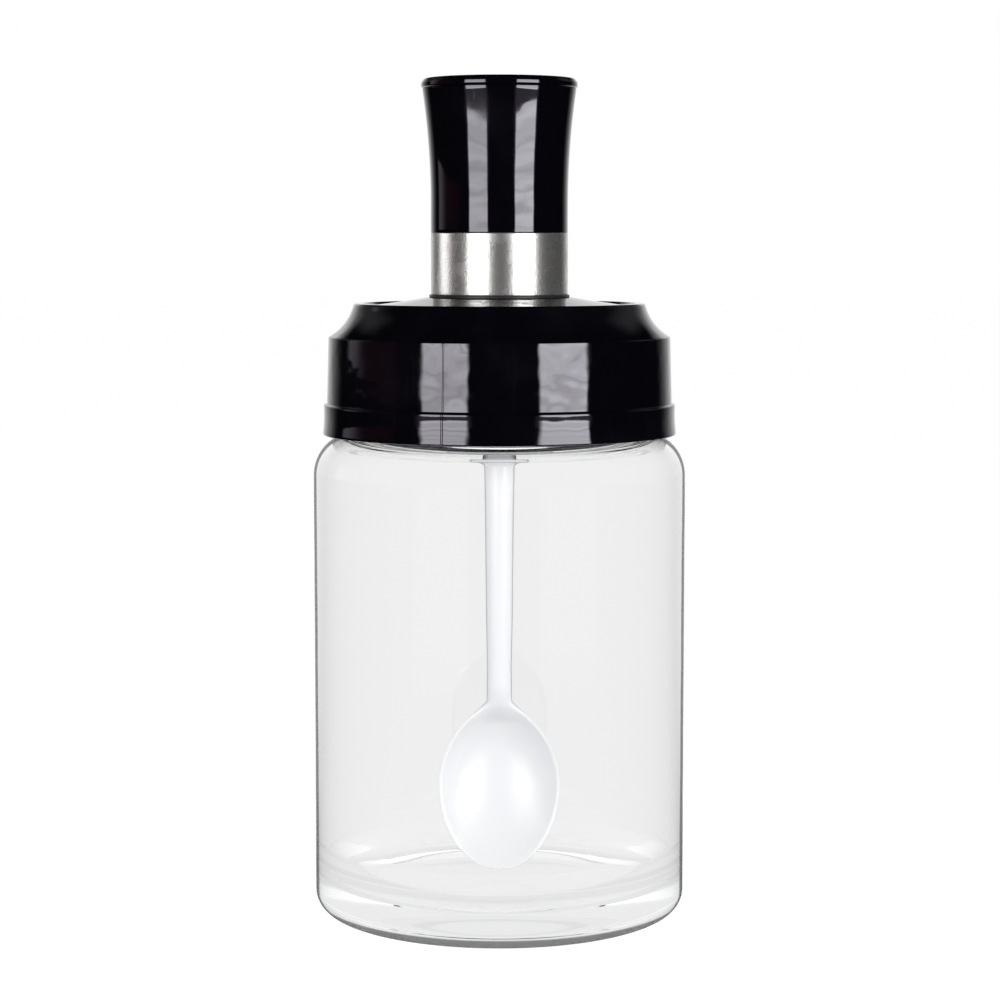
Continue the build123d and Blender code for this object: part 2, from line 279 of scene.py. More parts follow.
def make_brushed_steel():
    material, tree, shader, place = start_material("brushed_steel", Metallic=0.9)
    brushed = use_group(tree, brushing, place, depth=0.000005)
    specks = use_group(tree, unevenness, place, length=0.0004, depth=0.00002, detail=3.0)["Height"]
    metal = blend(tree, brushed["Lines"], (0.55, 0.54, 0.52), (0.78, 0.77, 0.75))
    feed(tree, metal, shader.inputs["Base Color"])
    mask = use_group(tree, handling, place, smudge_length=0.005, hairlines=0.2)["Mask"]
    feed(tree, ramp(tree, mask, 0.0, 1.0, 0.26, 0.34), shader.inputs["Roughness"])
    add_bump(tree, shader, maths(tree, "ADD", brushed["Height"], specks))
    return material


def make_plated_steel():
    material, tree, shader, place = start_material("plated_steel", Metallic=1.0)
    mask = use_group(tree, handling, place, smudge_length=0.002, hairlines=0.6)["Mask"]
    wear(tree, shader, mask, ((0.72, 0.72, 0.74), (0.58, 0.58, 0.59)), (0.1, 0.26))
    add_bump(tree, shader, use_group(tree, unevenness, place, length=0.0005, depth=0.000002)["Height"])
    return material


def make_silicone():
    material, tree, shader, place = start_material(
        "silicone", Subsurface_Weight=0.3, Subsurface_Scale=0.001
    )
    mask = use_group(tree, handling, place, smudge_length=0.004, hairlines=0.0)["Mask"]
    wear(tree, shader, mask, ((0.8, 0.81, 0.82), (0.72, 0.73, 0.74)), (0.4, 0.55))
    add_bump(tree, shader, use_group(tree, unevenness, place, length=0.0006, depth=0.00001)["Height"])
    return material


def make_milky_plastic():
    painted_edge_shade_colour = (0.2, 0.2, 0.22)
    material, tree, shader, place = start_material(
        "milky_plastic",
        IOR=1.6,
        Subsurface_Weight=0.2,
        Subsurface_Scale=0.0012,
        Subsurface_Radius=(1.0, 1.0, 1.1),
    )
    mask = use_group(tree, handling, place, smudge_length=0.008, hairlines=0.15)["Mask"]
    wear(tree, shader, mask, ((0.88, 0.88, 0.91), (0.865, 0.865, 0.895)), (0.28, 0.35))
    # Painted shade: the colour darkens towards the outline, where the surface turns away from the view.
    painted_edge_shade = ramp(tree, add_node(tree, "ShaderNodeLayerWeight").outputs["Facing"], 0.5, 0.85)
    plain = shader.inputs["Base Color"].links[0].from_socket
    feed(tree, blend(tree, painted_edge_shade, plain, painted_edge_shade_colour), shader.inputs["Base Color"])
    add_bump(tree, shader, use_group(tree, unevenness, place, length=0.005, depth=0.00002)["Height"])
    return material


def make_clear_glass():
    """Clear glass with painted shade: a grey outline where it turns away from the view, and a grey band at
    its foot.
    """
    painted_shade_strength = 0.9
    shoulder_start, shoulder_end = 0.078, 0.084  # heights
    material, tree, shader, place = start_material(
        "clear_glass", Base_Color=(1.0, 1.0, 1.0), Roughness=0.0, IOR=1.5, Transmission_Weight=1.0
    )
    add_bump(tree, shader, use_group(tree, unevenness, place, length=0.018, depth=0.00004)["Height"])
    # Painted shade: a dark grey glass is mixed in along the outline where the glass turns away, and in a
    # band where the foot turns down near the floor.
    painted_shade_glass = add_principled(
        tree, Base_Color=(0.035, 0.035, 0.035), Roughness=0.0, IOR=1.01, Transmission_Weight=1.0
    )
    facing = add_node(tree, "ShaderNodeLayerWeight").outputs["Facing"]
    front = maths(tree, "SUBTRACT", 1.0, add_node(tree, "ShaderNodeNewGeometry").outputs["Backfacing"])
    spot = split_xyz(tree, place)
    slope = split_xyz(tree, add_node(tree, "ShaderNodeTexCoord").outputs["Normal"])
    across, along = (maths(tree, "MULTIPLY", spot[axis], slope[axis]) for axis in (0, 1))
    outward = ramp(tree, maths(tree, "ADD", across, along), 0.0, 0.003)
    outside = maths(tree, "MULTIPLY", front, outward)
    turned_down = ramp(tree, slope[2], -0.42, -0.52)
    near_floor = ramp(tree, spot[2], 0.0042, 0.003)
    foot = maths(tree, "MULTIPLY", turned_down, near_floor)
    painted_edge_shade = maths(tree, "MAXIMUM", ramp(tree, facing, 0.81, 0.85), foot)
    painted_shade_share = maths(tree, "MULTIPLY", maths(tree, "MULTIPLY", painted_edge_shade, painted_shade_strength), outside)
    glass_with_painted_shade = mix_shaders(tree, painted_shade_share, shader.outputs[0], painted_shade_glass.outputs[0])
    clear = plain_shader(tree, "ShaderNodeBsdfTransparent", (0.98, 0.983, 0.98))
    path = add_node(tree, "ShaderNodeLightPath").outputs
    # Light leaves after two inner reflections, or three from the shoulder up. Soft light passes straight.
    most = ramp(tree, spot[2], shoulder_start, shoulder_end, 1.5, 2.5)
    inner = maths(tree, "GREATER_THAN", path["Glossy Depth"], most)
    softened = maths(tree, "GREATER_THAN", path["Diffuse Depth"], 0.5)
    let_out = mix_shaders(tree, maths(tree, "MAXIMUM", inner, softened), glass_with_painted_shade, clear)
    lit_through = mix_shaders(tree, path["Is Shadow Ray"], let_out, clear)
    tint = plain_shader(tree, "ShaderNodeVolumeAbsorption", (0.82, 0.86, 0.84), 3.5)
    output = next(node for node in tree.nodes if node.type == "OUTPUT_MATERIAL")
    feed(tree, lit_through, output.inputs["Surface"])
    feed(tree, tint, output.inputs["Volume"])
    return material


gloss_black = make_gloss_black()
satin_black = make_satin_black()
brushed_steel = make_brushed_steel()
plated_steel = make_plated_steel()
silicone = make_silicone()
milky_plastic = make_milky_plastic()
clear_glass = make_clear_glass()

for node, material in (
    ("rim_gasket", silicone),
    ("core_seal", silicone),
    ("spoon_core", satin_black),
    ("grip_washer", plated_steel),
    ("grip_screw", plated_steel),
):
    nodes[node].data.materials.clear()
    nodes[node].data.materials.append(material)

# Outlines and meshes


def rounded(corners):
    """Outline of points from corners (radius, height) or (radius, height, round)."""
    arc_step = radians(12)
    points = []
    for number, corner in enumerate(corners):
        here = Vector(corner[:2])
        if len(corner) < 3:
            points.append(here)
            continue
        before = (Vector(corners[number - 1][:2]) - here).normalized()
        after = (Vector(corners[(number + 1) % len(corners)][:2]) - here).normalized()
        half = before.angle(after) / 2
        middle = here + (before + after).normalized() * corner[2] / sin(half)
        start = here + before * corner[2] / tan(half) - middle
        turn = pi - 2 * half
        if before.x * after.y - before.y * after.x > 0:
            turn = -turn
        steps = max(3, round(abs(turn) / arc_step))
        for step in range(steps + 1):
            a = turn * step / steps
            x = start.x * cos(a) - start.y * sin(a)
            y = start.x * sin(a) + start.y * cos(a)
            points.append(middle + Vector((x, y)))
    return points


def bowed(start, end, sag, steps=16):
    """Points from start to end on a shallow arc that bows to the left by sag."""
    start, end = Vector(start), Vector(end)
    left = Vector((start.y - end.y, end.x - start.x)).normalized()
    shares = [step / steps for step in range(steps + 1)]
    return [tuple(start.lerp(end, share) + left * sag * 4 * share * (1 - share)) for share in shares]


def spaced(points, longest):
    """The same closed outline with no stretch much longer than this."""
    result = []
    for number, point in enumerate(points):
        following = points[(number + 1) % len(points)]
        pieces = max(1, round((following - point).length / longest))
        result += [point.lerp(following, step / pieces) for step in range(pieces)]
    return result


def arc(middle, radius, start, end, steps):
    """Points of an arc about a middle, from a start angle to an end angle in degrees."""
    angles = [radians(start + (end - start) * step / steps) for step in range(steps + 1)]
    return [(middle[0] + radius * cos(a), middle[1] + radius * sin(a)) for a in angles]


def skin(rows, wrap):
    """Faces over rows of points, each row a closed loop.

    The last row joins the first, or both ends are closed.
    """
    count = len(rows[0])
    vertices = [point for row in rows for point in row]
    faces = []
    for row in range(len(rows) if wrap else len(rows) - 1):
        here = row * count
        there = (row + 1) % len(rows) * count
        for number in range(count):
            following = (number + 1) % count
            faces.append((here + number, there + number, there + following, here + following))
    if not wrap:
        faces += [tuple(range(count)), tuple(range(len(vertices) - count, len(vertices)))]
    return vertices, faces


def turned(points, segments=224, ripple=0.0, shape=None, seams=()):
    """Rows of an outline turned about the axis.

    ripple is how far the surface wanders in and out. shape adds to the radius at a point and an angle.
    seams are the angles of fine mould lines on the outside.
    """
    seam_half, seam_height = 0.12, 0.05
    seam_profile = ((-2, 0.0), (-1, 0.6), (0, 1.0), (1, 0.6), (2, 0.0))
    ripple_length, ripple_start = 9, 5
    farthest = max(point.x for point in points)
    angles = {2 * pi * number / segments: 0.0 for number in range(segments)}
    for seam in seams:
        half = seam_half / farthest
        angles = {a: lift for a, lift in angles.items() if abs(a - seam % (2 * pi)) > 2.5 * half}
        angles.update({seam % (2 * pi) + side * half: lift for side, lift in seam_profile})
    rows = []
    for angle in sorted(angles):
        row = []
        for number, point in enumerate(points):
            stretch = points[(number + 1) % len(points)] - points[number - 1]
            rise = max(0.0, stretch.y / max(stretch.length, 1e-9))
            place = Vector((point.x * cos(angle), point.x * sin(angle), point.y))
            wander = ripple * noise.noise(place / ripple_length) * min(1, point.x / ripple_start)
            radius = point.x + wander + angles[angle] * seam_height * rise
            if shape:
                radius += shape(point.x, point.y, angle)
            row.append((radius * cos(angle), radius * sin(angle), point.y))
        rows.append(row)
    return rows


def add_piece(name, shells, body, material, replaced, weighted=True):
    """Smooth piece made of closed shells of (rows, wrap). It rides on a body and stands for CAD nodes."""
    build = bmesh.new()
    for rows, wrap in shells:
        vertices, faces = skin(rows, wrap)
        made = [build.verts.new(Vector(vertex) * mm) for vertex in vertices]
        for face in faces:
            build.faces.new([made[number] for number in face])
    bmesh.ops.remove_doubles(build, verts=build.verts, dist=1e-7)
    bmesh.ops.recalc_face_normals(build, faces=build.faces)
    mesh = bpy.data.meshes.new(name)
    build.to_mesh(mesh)
    build.free()
    mesh.shade_smooth()
    mesh.materials.append(material)
    piece = bpy.data.objects.new(name, mesh)
    bpy.context.scene.collection.objects.link(piece)
    if weighted:
        piece.modifiers.new("even_shading", "WEIGHTED_NORMAL").keep_sharp = False
    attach(piece, body)
    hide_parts(replaced)
    return piece


# Glass jar

jar_radius = 35.0
jar_wall = 2.2
side_height = 83.2
shoulder_round = 8.0
neck_radius = 28.8
neck_inner = neck_radius - jar_wall
jar_inner = jar_radius - jar_wall
rim = high("glass_jar")
floor_top = 5.6
floor_round = 9.0
foot_round = 4.1
push_up_radius = 23.5
push_up_height = 1.2
neck_foot = side_height + sqrt(shoulder_round**2 - (neck_radius - jar_radius + shoulder_round) ** 2)
lug_count = 4
ramp_middle = rim - 4.6
ramp_turn = radians(45)
ramp_arc = radians(40)
ramp_tilt = radians(3.5)
ramp_proud = 1.2
ramp_half = 1.25  # half of the height


def jar_outline():
    """Outline of the glass: the hollow under its floor, the outside, and then the inside."""
    under_steps = 24
    shoulder_middle = (jar_radius - shoulder_round, side_height)
    inner_round = shoulder_round - jar_wall
    outer_end = degrees(atan2(neck_foot - side_height, neck_radius - shoulder_middle[0]))
    inner_rise = sqrt(inner_round**2 - (neck_inner - shoulder_middle[0]) ** 2)
    inner_end = degrees(atan2(inner_rise, neck_inner - shoulder_middle[0]))
    corners = [
        (push_up_radius * step / under_steps, push_up_height * (cos(pi * step / under_steps) + 1) / 2)
        for step in range(under_steps + 1)
    ]
    corners += arc((jar_radius - foot_round, foot_round), foot_round, -90, 0, 14)
    corners += arc(shoulder_middle, shoulder_round, 0, outer_end - 9, 16)
    corners += [
        (neck_radius, neck_foot + 0.1, 1.0),
        (neck_radius, neck_foot + 1.3),
        (neck_radius + 0.62, neck_foot + 2.2, 0.8),
        (neck_radius, neck_foot + 3.1),
        (neck_radius, rim, 0.9),
        (neck_inner, rim, 0.9),
        (neck_inner, side_height + inner_rise + 0.2, 1.2),
    ]
    corners += arc(shoulder_middle, inner_round, inner_end - 12, 0, 14)
    corners += arc((jar_inner - floor_round, floor_top + floor_round), floor_round, 0, -90, 20)
    corners += [(0, floor_top)]
    return spaced(rounded(corners), 1.0)


def ramps(radius, height, angle):
    """How far the four ramps stand out from the neck."""
    if radius < neck_radius - 0.5 or height < neck_foot + 4:
        return 0.0
    across = (angle - ramp_turn + pi / lug_count) % (2 * pi / lug_count) - pi / lug_count
    off = abs(height - ramp_middle - neck_radius * sin(across) * sin(ramp_tilt))
    side = min(1.0, max(0.0, (ramp_half - off) / 0.8))
    end = min(1.0, max(0.0, (ramp_arc / 2 + 0.015 - abs(across)) / 0.05))
    return ramp_proud * side * side * (3 - 2 * side) * end * end * (3 - 2 * end)


def fine_neck(points):
    """The outline with short steps where the ramps are."""
    result = []
    for number, point in enumerate(points):
        result.append(point)
        following = points[(number + 1) % len(points)]
        if point.x > neck_radius - 0.1 and neck_foot + 3 < point.y < rim - 1 and following.y > point.y:
            result += [point.lerp(following, share) for share in (0.25, 0.5, 0.75)]
    return result


jar_rows = turned(fine_neck(jar_outline()), segments=320, ripple=0.03, shape=ramps)
add_piece("jar", [(jar_rows, True)], "jar", clear_glass, "glass_jar", weighted=False)

# Cap

skirt_inner = 30.4
skirt_radius = 32.1
bead_radius = 33.06
bead_height = 5.6
bead_waist = 0.1
seat = high("rim_gasket")
cove_foot = seat + 0.9
cove_top = cove_foot + 5.3
cove_sag = 0.62
lip_radius = skirt_radius - 4.55
lip_top = cove_top + 0.8
lip_inner = lip_radius - 1.8
pad_top = high("lid_cap")
pad_radius = reach("band_ring") + 0.5
pad_bore = 5.3
pad_sag = 0.12
plug_outer = 25.3
plug_inner = 24.0
plug_foot = seat - 3.6
lug_radius = 29.2
lug_root = skirt_inner + 0.6
lug_top = 100.2
lug_turn = radians(33)
lug_arc = radians(16)
seam_angle = radians(-108)


def cap_outline():
    """Outline of the cap: its bore and inside, the skirt with its bead, the cove, the lip and the pad."""
    foot = low("lid_cap")
    groove = lip_top - 0.5
    under = groove - 1.9
    corners = [
        (pad_bore, pad_top, 0.2),
        (pad_bore, under, 0.2),
        (plug_inner, under, 0.3),
        (plug_inner, plug_foot, 0.4),
        (plug_outer, plug_foot, 0.4),
        (plug_outer, seat),
        (skirt_inner - 0.7, seat),
        (skirt_inner, seat - 0.7),
        (skirt_inner, foot + 0.5),
        (skirt_inner + 0.5, foot, 0.15),
        (bead_radius + 0.18, foot, 0.22),
    ]
    corners += bowed((bead_radius + 0.17, foot + 0.5), (bead_radius, foot + bead_height - 0.4), bead_waist)
    corners += [
        (bead_radius, foot + bead_height, 0.25),
        (skirt_radius + 0.36, foot + bead_height + 0.3, 0.12),
        (skirt_radius, cove_foot - 0.19, 0.4),
    ]
    corners += bowed((skirt_radius - 0.35, cove_foot), (lip_radius, cove_top), cove_sag)
    corners += [(lip_radius - 0.25, lip_top, 0.62), (lip_inner, lip_top, 0.3)]
    dome = bowed((lip_inner - 0.9, groove), (pad_radius, pad_top), pad_sag)
    corners += [(*dome[0], 0.5), *dome[1:]]
    return spaced(rounded(corners), 1.0)


def cap_lugs():
    """Four lugs inside the skirt that lock under the ramps of the neck, with rounded ends."""
    half_steps = 16
    section = rounded([
        (lug_root, lug_top),
        (lug_radius, lug_top, 0.2),
        (lug_radius, lug_top - 0.9, 0.3),
        (lug_root, lug_top - 1.8),
    ])
    shells = []
    for number in range(lug_count):
        middle = lug_turn + number * 2 * pi / lug_count
        rows = []
        for step in range(2 * half_steps + 1):
            share = step / half_steps - 1
            fall = 1 - sqrt(max(0.0, 1 - abs(share) ** 8))
            angle = middle + share * lug_arc / 2
            row = []
            for point in section:
                radius = max(point.x, lug_radius + 1.7 * fall) if point.x < skirt_inner else point.x
                row.append((radius * cos(angle), radius * sin(angle), point.y))
            rows.append(row)
        shells.append((rows, False))
    return shells


cap_rows = turned(cap_outline(), ripple=0.02, seams=(seam_angle, seam_angle + pi))
add_piece("cap", [(cap_rows, True), *cap_lugs()], "lid", gloss_black, "lid_cap")

# Ring, steel band, grip and its top

ring_bore = 9.5
band_foot = low("steel_band")
band_top = high("steel_band")
band_wall = 0.5
grip_radius = reach("steel_band")
disc_depth = 4.2  # how far the top disc reaches down into the grip
grip_top = low("grip_cap") + disc_depth
grip_floor = band_top - 2.1
grip_floor_depth = 2.4
flare_foot = band_top + 5.5
flare_depth = 1.55
screw_bore = 1.9

ring_rows = turned(rounded([
    (ring_bore, pad_top),
    (reach("band_ring"), pad_top, 0.12),
    (reach("band_ring"), band_foot, 0.2),
    (ring_bore, band_foot),
]))
add_piece("ring", [(ring_rows, True)], "lid", satin_black, "band_ring")

band_rows = turned(spaced(rounded([
    (grip_radius - band_wall, band_foot),
    (grip_radius, band_foot, 0.14),
    (grip_radius, band_top, 0.14),
    (grip_radius - band_wall, band_top),
]), 0.7), ripple=0.006)
add_piece("band", [(band_rows, True)], "lid", brushed_steel, "steel_band")


def grip_outline():
    """Outline of the grip: its foot inside the band, the flare, the seat of the top disc and the bore."""
    flare_steps = 24
    bore = grip_radius - 2.15
    foot_radius = grip_radius - 0.55
    seat_radius = grip_radius + 0.15
    flare_length = grip_top - flare_foot
    bend = (flare_length**2 + flare_depth**2) / (2 * flare_depth)
    flare = []
    for step in range(flare_steps):
        rise = flare_length * step / flare_steps
        flare.append((grip_radius + bend - sqrt(bend**2 - rise**2), flare_foot + rise))
    corners = [
        (bore, band_foot),
        (foot_radius, band_foot),
        (foot_radius, band_top),
        (grip_radius, band_top, 0.15),
        *flare,
        (grip_radius + flare_depth, grip_top, 0.08),
        (seat_radius, grip_top),
        (seat_radius, grip_top - disc_depth),
        (seat_radius - 0.85, grip_top - disc_depth),
        (bore, band_top + 1.7),
        (bore, grip_floor, 0.5),
        (screw_bore, grip_floor),
        (screw_bore, grip_floor - grip_floor_depth),
        (bore, grip_floor - grip_floor_depth, 0.5),
    ]
    return spaced(rounded(corners), 0.8)


grip_rows = turned(grip_outline(), ripple=0.02)
add_piece("grip", [(grip_rows, True)], "lid", gloss_black, "grip_shell")

top_radius = reach("grip_cap")
top_edge = high("grip_cap") - 0.3
collar_inner, collar_outer = 11.35, 12.95  # of the top disc
top_rows = turned(spaced(rounded([
    (0, high("grip_cap")),
    (0, grip_top),
    (collar_inner, grip_top, 0.4),
    (collar_inner, grip_top - disc_depth),
    (collar_outer, grip_top - disc_depth),
    (collar_outer, grip_top),
    (top_radius - 0.37, grip_top, 0.1),
    (top_radius, grip_top + 0.35, 0.3),
    (top_radius, top_edge - 0.75, 0.6),
    (top_radius - 0.5, top_edge, 0.45),
]), 0.7), ripple=0.015)
add_piece("grip_top", [(top_rows, True)], "lid", gloss_black, "grip_cap")

# Spoon

loop_half = 44  # half of the points in a loop round the spoon
bowl_width = 11.55  # half of the width
bowl_height = 15.95  # half of the length
bowl_middle = 23.85
bowl_depth = 5.0  # inside
bowl_wall = 0.9
bowl_deepest = 4.5  # above the middle
bowl_point = 0.16  # how much more pointed the bowl is above its middle
bowl_lead = 1.2
bowl_lean = radians(5)
lean_fade = (37.0, 43.0)
rim_width = 0.55
edge_round = 0.3
thinnest = 0.16  # half of the thickness
neck_soft = 3.0
neck_rounds = (35.0, 42.5)  # heights between which the flat neck becomes the round rod
rod_low = 2.34
rod_high = 2.85
rod_foot = 43.75
collar_foot = 88.5
collar_radius = 5.6
collar_round = 2.0
rod_top = collar_foot - collar_round
socket_mouth = 90.0
shank_radius = 3.2


def soft_max(first, second, soft):
    """The larger of two numbers, with a soft change from one to the other."""
    near = max(0.0, soft - abs(first - second)) / soft
    return max(first, second) + near * near * soft / 4


def soft_step(value, start, end):
    share = min(1.0, max(0.0, (value - start) / (end - start)))
    return share * share * (3 - 2 * share)


def rod_at(height):
    """Radius of the rod at a height."""
    share = min(1.0, max(0.0, (height - rod_foot) / (rod_top - rod_foot)))
    return rod_low + (rod_high - rod_low) * share


def bowl_at(height, inset=0.0):
    """Half of the width of the bowl at a height: an ellipse below, and more pointed above."""
    along = (height - bowl_middle) / (bowl_height - inset)
    fullness = 0.5 if along < 0 else 0.5 + bowl_point * min(1.0, along / 0.35)
    return (bowl_width - inset) * max(0.0, 1 - along**2) ** fullness


def dish(across, height, inset, depth):
    """Depth of a dish below its rim: a round arc across and a flatter curve along."""
    half = max(bowl_at(height, inset), 1e-3)
    above = height - bowl_middle - bowl_deepest
    length = bowl_height - inset - (bowl_deepest if above > 0 else -bowl_deepest)
    deep = max(depth * (1 - min(1.0, abs(above) / length) ** 2.1), 1e-4)
    bend = (half**2 + deep**2) / (2 * deep)
    return sqrt(max(bend**2 - across**2, (bend - deep) ** 2)) - (bend - deep) if half > 2e-3 else 0.0


def spoon_at(height):
    """Half of the width of the spoon at a height, through the neck between the bowl and the rod."""
    if height < bowl_middle:
        return bowl_at(height)
    return soft_max(bowl_at(height), rod_at(height), neck_soft)


def spoon_row(height):
    """Closed loop of points round the spoon at a height."""
    small_step = 0.01
    width = spoon_at(height)
    slope = (spoon_at(height + small_step) - width) / small_step
    bowl_half = bowl_at(height)
    share = soft_step(height, *neck_rounds)
    lean = (height - bowl_middle) * tan(bowl_lean) * (1 - soft_step(height, *lean_fade))
    loop = []
    for number in range(2 * loop_half):
        turn = pi * number / loop_half
        across = cos(turn)
        at = bowl_half * across
        back = dish(at, height, 0.0, bowl_depth + bowl_wall)
        inside = abs(at) < bowl_at(height, rim_width)
        hollow = dish(at, height, rim_width, bowl_depth) if inside else -0.3
        front = soft_max(0.0, hollow, 0.3)
        from_edge = width * (1 - abs(across)) / sqrt(1 + slope**2)
        close = sqrt(max(0.0, 1 - max(0.0, 1 - from_edge / edge_round) ** 2))
        half = max(thinnest, (back - front) / 2) * close
        flat_side = (back + front) / 2 - bowl_lead + (half if turn < pi else -half)
        round_side = rod_at(height) * sin(turn)
        loop.append((width * across, flat_side + (round_side - flat_side) * share + lean, height))
    return loop


def spoon_rows():
    """Loops from the tip of the spoon up through the bowl, the rod, the collar and the shank."""
    bowl_steps, neck_step, rod_steps = 60, 0.3, 20
    tip = (0.0, -bowl_lead - bowl_height * tan(bowl_lean), bowl_middle - bowl_height)
    rows = [[tip] * (2 * loop_half)]
    for step in range(1, bowl_steps + 1):
        rows.append(spoon_row(bowl_middle - bowl_height * cos(pi / 2 * step / bowl_steps)))
    height = bowl_middle
    while height < rod_foot:
        height += neck_step
        rows.append(spoon_row(height))
    rod = [height + (rod_top - height) * step / rod_steps for step in range(1, rod_steps + 1)]
    profile = [(rod_at(place), place) for place in rod]
    profile += arc((rod_high + collar_round, rod_top), collar_round, 180, 96, 10)[1:]
    profile += [
        (collar_radius - 0.3, collar_foot + 0.02),
        (collar_radius - 0.1, collar_foot + 0.1),
        (collar_radius, collar_foot + 0.3),
        (collar_radius, socket_mouth - 0.2),
        (collar_radius - 0.1, socket_mouth),
        (shank_radius, socket_mouth),
        (shank_radius, socket_mouth + 14.5),
        (shank_radius - 0.4, socket_mouth + 15),
    ]
    turns = [pi * number / loop_half for number in range(2 * loop_half)]
    for radius, place in profile:
        rows.append([(radius * cos(turn), radius * sin(turn), place) for turn in turns])
    return rows


spoon_shell = (spoon_rows(), False)
add_piece("spoon_part", [spoon_shell], "lid", milky_plastic, "spoon", weighted=False)

# Floor, studio and camera

left_strip = (-52.6, -18.6)
right_strip = (24.4, 60.0)
edge_strip = (-117.0, -91.0)
strip_distance = 790
strip_foot = 15
strip_height = 330
strip_radiance = 4.3
fill = 0.47
behind = 128.0  # degrees from the front to where the white backdrop starts
behind_soft = 38.0
studio_white = (1.0, 1.0, 1.0)
studio_dark = (0.003, 0.003, 0.004)
floor_drop = 0.00002
painted_contact_shadow_ring = (0.0295, 0.0355)  # radii of a painted contact shadow: a soft grey ring round the foot, on the floor as seen through the glass
camera_place = (0, -0.5059, 0.12676)
camera_tilt = 5.48  # degrees below level
camera_lens = 96.72
camera_shift = 0.0006


def horizontal_turn(tree, place):
    """Direction of a place about the axis in degrees, and its coordinates.

    The direction is 0 at the front, 90 on the right and -90 on the left.
    """
    split = split_xyz(tree, place)
    turn = maths(tree, "ARCTAN2", split[0], maths(tree, "MULTIPLY", split[1], -1.0))
    return maths(tree, "MULTIPLY", turn, 180 / pi), split


def make_floor():
    """Pale floor that looks different to the camera, to mirrored rays and through the glass."""
    bpy.ops.mesh.primitive_plane_add(size=12, location=(0, 0, -floor_drop))
    floor = bpy.context.object
    floor.name = "floor"
    material = bpy.data.materials.new("pale_floor")
    material.use_nodes = True
    tree = material.node_tree
    tree.nodes.clear()
    turn, place = horizontal_turn(tree, add_node(tree, "ShaderNodeTexCoord").outputs["Object"])
    squares = [maths(tree, "POWER", place[axis], 2.0) for axis in (0, 1)]
    away = maths(tree, "SQRT", maths(tree, "ADD", *squares))
    path = add_node(tree, "ShaderNodeLightPath").outputs
    diffuse = plain_shader(tree, "ShaderNodeBsdfDiffuse", (0.82, 0.82, 0.82))
    white = plain_shader(tree, "ShaderNodeEmission", studio_white, 1.2)
    seen = mix_shaders(tree, 0.75, diffuse, white)
    back = ramp(tree, maths(tree, "ABSOLUTE", turn), behind, behind + behind_soft)
    left = between(tree, turn, *left_strip, 6.0)
    right = between(tree, turn, *right_strip, 6.0)
    strips = maths(tree, "MULTIPLY", maths(tree, "ADD", left, right), ramp(tree, away, 0.25, 0.4))
    striped = blend(tree, strips, studio_dark, (0.36, 0.34, 0.39))
    mirrored = blend(tree, back, striped, studio_white)
    # Painted contact shadow: rays through the glass see a grey ring on the floor round the jar's foot.
    painted_contact_shadow = between(tree, away, *painted_contact_shadow_ring, 0.002)
    through = blend(tree, maths(tree, "MULTIPLY", painted_contact_shadow, 0.15), (0.9, 0.9, 0.9), (0.4, 0.41, 0.4))
    glossy = plain_shader(tree, "ShaderNodeEmission", mirrored, 1.0)
    clear = plain_shader(tree, "ShaderNodeEmission", through, 1.0)
    first_look = maths(tree, "LESS_THAN", path["Diffuse Depth"], 0.5)
    shader = mix_shaders(tree, path["Is Camera Ray"], diffuse, seen)
    shader = mix_shaders(tree, maths(tree, "MULTIPLY", path["Is Glossy Ray"], first_look), shader, glossy)
    past_glass = maths(tree, "GREATER_THAN", path["Transmission Depth"], 0.5)
    shader = mix_shaders(tree, maths(tree, "MULTIPLY", past_glass, first_look), shader, clear)
    feed(tree, shader, add_node(tree, "ShaderNodeOutputMaterial").inputs[0])
    floor.data.materials.append(material)


def make_studio():
    """World: white to the camera, an even fill for soft light, and studio cards for mirrored rays."""
    world = bpy.data.worlds.new("studio")
    bpy.context.scene.world = world
    world.use_nodes = True
    world.cycles.sampling_method = "NONE"
    tree = world.node_tree
    tree.nodes.clear()
    turn, direction = horizontal_turn(tree, add_node(tree, "ShaderNodeTexCoord").outputs["Generated"])
    path = add_node(tree, "ShaderNodeLightPath").outputs
    aside = maths(tree, "ABSOLUTE", turn)
    back = ramp(tree, aside, behind, behind + behind_soft)
    low_down = ramp(tree, direction[2], 0.28, 0.36, 1.0, 0.0)
    panel_rise = ramp(tree, turn, -124.0, -118.0)
    panel_fall = ramp(tree, turn, -118.0, -94.0, 1.0, 0.0)
    panel = maths(tree, "MULTIPLY", maths(tree, "MULTIPLY", panel_rise, panel_fall), low_down)
    glow = maths(tree, "MULTIPLY", between(tree, turn, -105.0, -72.0, 12.0), low_down)
    mirrored = blend(tree, panel, studio_dark, (0.42, 0.38, 0.43))
    mirrored = blend(tree, maths(tree, "MULTIPLY", glow, 0.7), mirrored, (0.06, 0.018, 0.024))
    overhead = ramp(tree, direction[2], 0.2, 0.42, 1.0, 0.0)
    raised_foot = ramp(tree, direction[2], 0.08, 0.3)
    raised_top = ramp(tree, direction[2], 0.5, 0.7, 0.13, 0.0)
    raised = maths(tree, "MULTIPLY", raised_foot, between(tree, aside, 108.0, 140.0, 28.0))
    raised = maths(tree, "MULTIPLY", raised, raised_top)
    mirrored = blend(tree, raised, mirrored, studio_white)
    mirrored = blend(tree, maths(tree, "MULTIPLY", back, overhead), mirrored, studio_white)
    through = ramp(tree, aside, 70.0, 150.0, 1.2, 0.9)
    seen = blend(tree, path["Is Glossy Ray"], (fill, fill, fill), mirrored)
    seen = blend(tree, maths(tree, "GREATER_THAN", path["Transmission Depth"], 0.5), seen, through)
    seen = blend(tree, path["Is Camera Ray"], seen, studio_white)
    bounced = maths(tree, "GREATER_THAN", path["Diffuse Depth"], 0.5)
    seen = blend(tree, bounced, seen, (fill, fill, fill))
    background = plain_shader(tree, "ShaderNodeBackground", seen, 1.0)
    feed(tree, background, add_node(tree, "ShaderNodeOutputWorld").inputs[0])


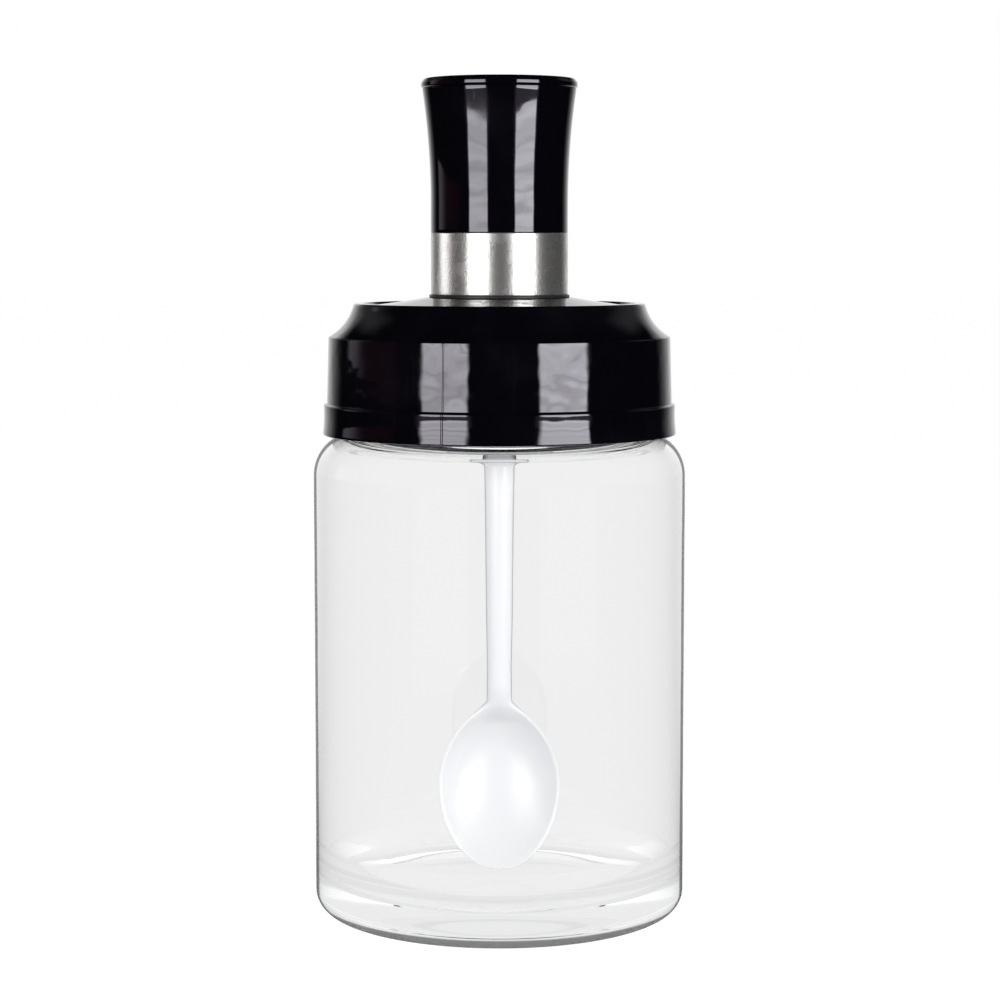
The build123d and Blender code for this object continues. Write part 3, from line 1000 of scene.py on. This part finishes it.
def add_strip(name, turns, brightness, lit_pieces):
    """Tall soft lamp that fills these turns as seen from the axis and lights what a collection allows."""
    start, end = (radians(turn) for turn in turns)
    middle = (start + end) / 2
    width = 2 * strip_distance * tan((end - start) / 2)
    lamp = bpy.data.lights.new(name, "AREA")
    lamp.shape = "RECTANGLE"
    lamp.size = width * mm
    lamp.size_y = strip_height * mm
    lamp.energy = pi * lamp.size * lamp.size_y * strip_radiance * brightness
    lamp.use_nodes = True
    tree = lamp.node_tree
    turn, place = horizontal_turn(tree, add_node(tree, "ShaderNodeNewGeometry").outputs["Position"])
    cloth = add_node(tree, "ShaderNodeTexNoise", noise_dimensions="1D")
    for label, value in (("W", place[2]), ("Scale", 55.0), ("Detail", 2.0), ("Roughness", 0.6)):
        feed(tree, value, cloth.inputs[label])
    folds = ramp(tree, cloth.outputs[0], 0.3, 0.7, -0.24, 0.24)
    even = maths(tree, "ADD", folds, ramp(tree, place[2], 0.0, 0.3, 1.02, 0.98))
    soft = between(tree, turn, turns[0] + 1.5, turns[1] - 1.5, 3.0)
    lit = next(node for node in tree.nodes if node.type == "EMISSION")
    feed(tree, maths(tree, "MULTIPLY", even, soft), lit.inputs["Strength"])
    strip = bpy.data.objects.new(name, lamp)
    x, y = strip_distance * sin(middle), -strip_distance * cos(middle)
    strip.location = Vector((x, y, strip_foot + strip_height / 2)) * mm
    strip.rotation_euler = (pi / 2, 0, middle)
    strip.visible_camera = False
    bpy.context.scene.collection.objects.link(strip)
    strip.light_linking.receiver_collection = lit_pieces


# The photo shows no black cap through the neck, so rays through the glass miss these pieces.
for unseen in ("cap", "ring", "band", "grip", "grip_top", "spoon_core"):
    bpy.data.objects[unseen].visible_transmission = False
bpy.data.objects["cap"].visible_diffuse = False
bpy.data.objects["spoon_core"].visible_diffuse = False
bpy.data.objects["spoon_core"].visible_shadow = False
all_but_jar = bpy.data.collections.new("all_but_jar")
all_but_jar.objects.link(bpy.data.objects["jar"])
all_but_jar.collection_objects[0].light_linking.link_state = "EXCLUDE"
only_band = bpy.data.collections.new("only_band")
only_band.objects.link(bpy.data.objects["band"])
make_floor()
make_studio()
add_strip("left_strip", left_strip, brightness=1.2, lit_pieces=all_but_jar)
add_strip("right_strip", right_strip, brightness=1.5, lit_pieces=all_but_jar)
add_strip("edge_strip", edge_strip, brightness=0.42, lit_pieces=only_band)  # line at the left of the steel

camera_data = bpy.data.cameras.new("camera")
camera_data.lens = camera_lens
camera_data.shift_x = camera_shift
camera = bpy.data.objects.new("camera", camera_data)
camera.location = camera_place
camera.rotation_euler = (radians(90 - camera_tilt), 0, 0)
bpy.context.scene.collection.objects.link(camera)
bpy.context.scene.camera = camera
bpy.context.scene.view_settings.view_transform = "Standard"
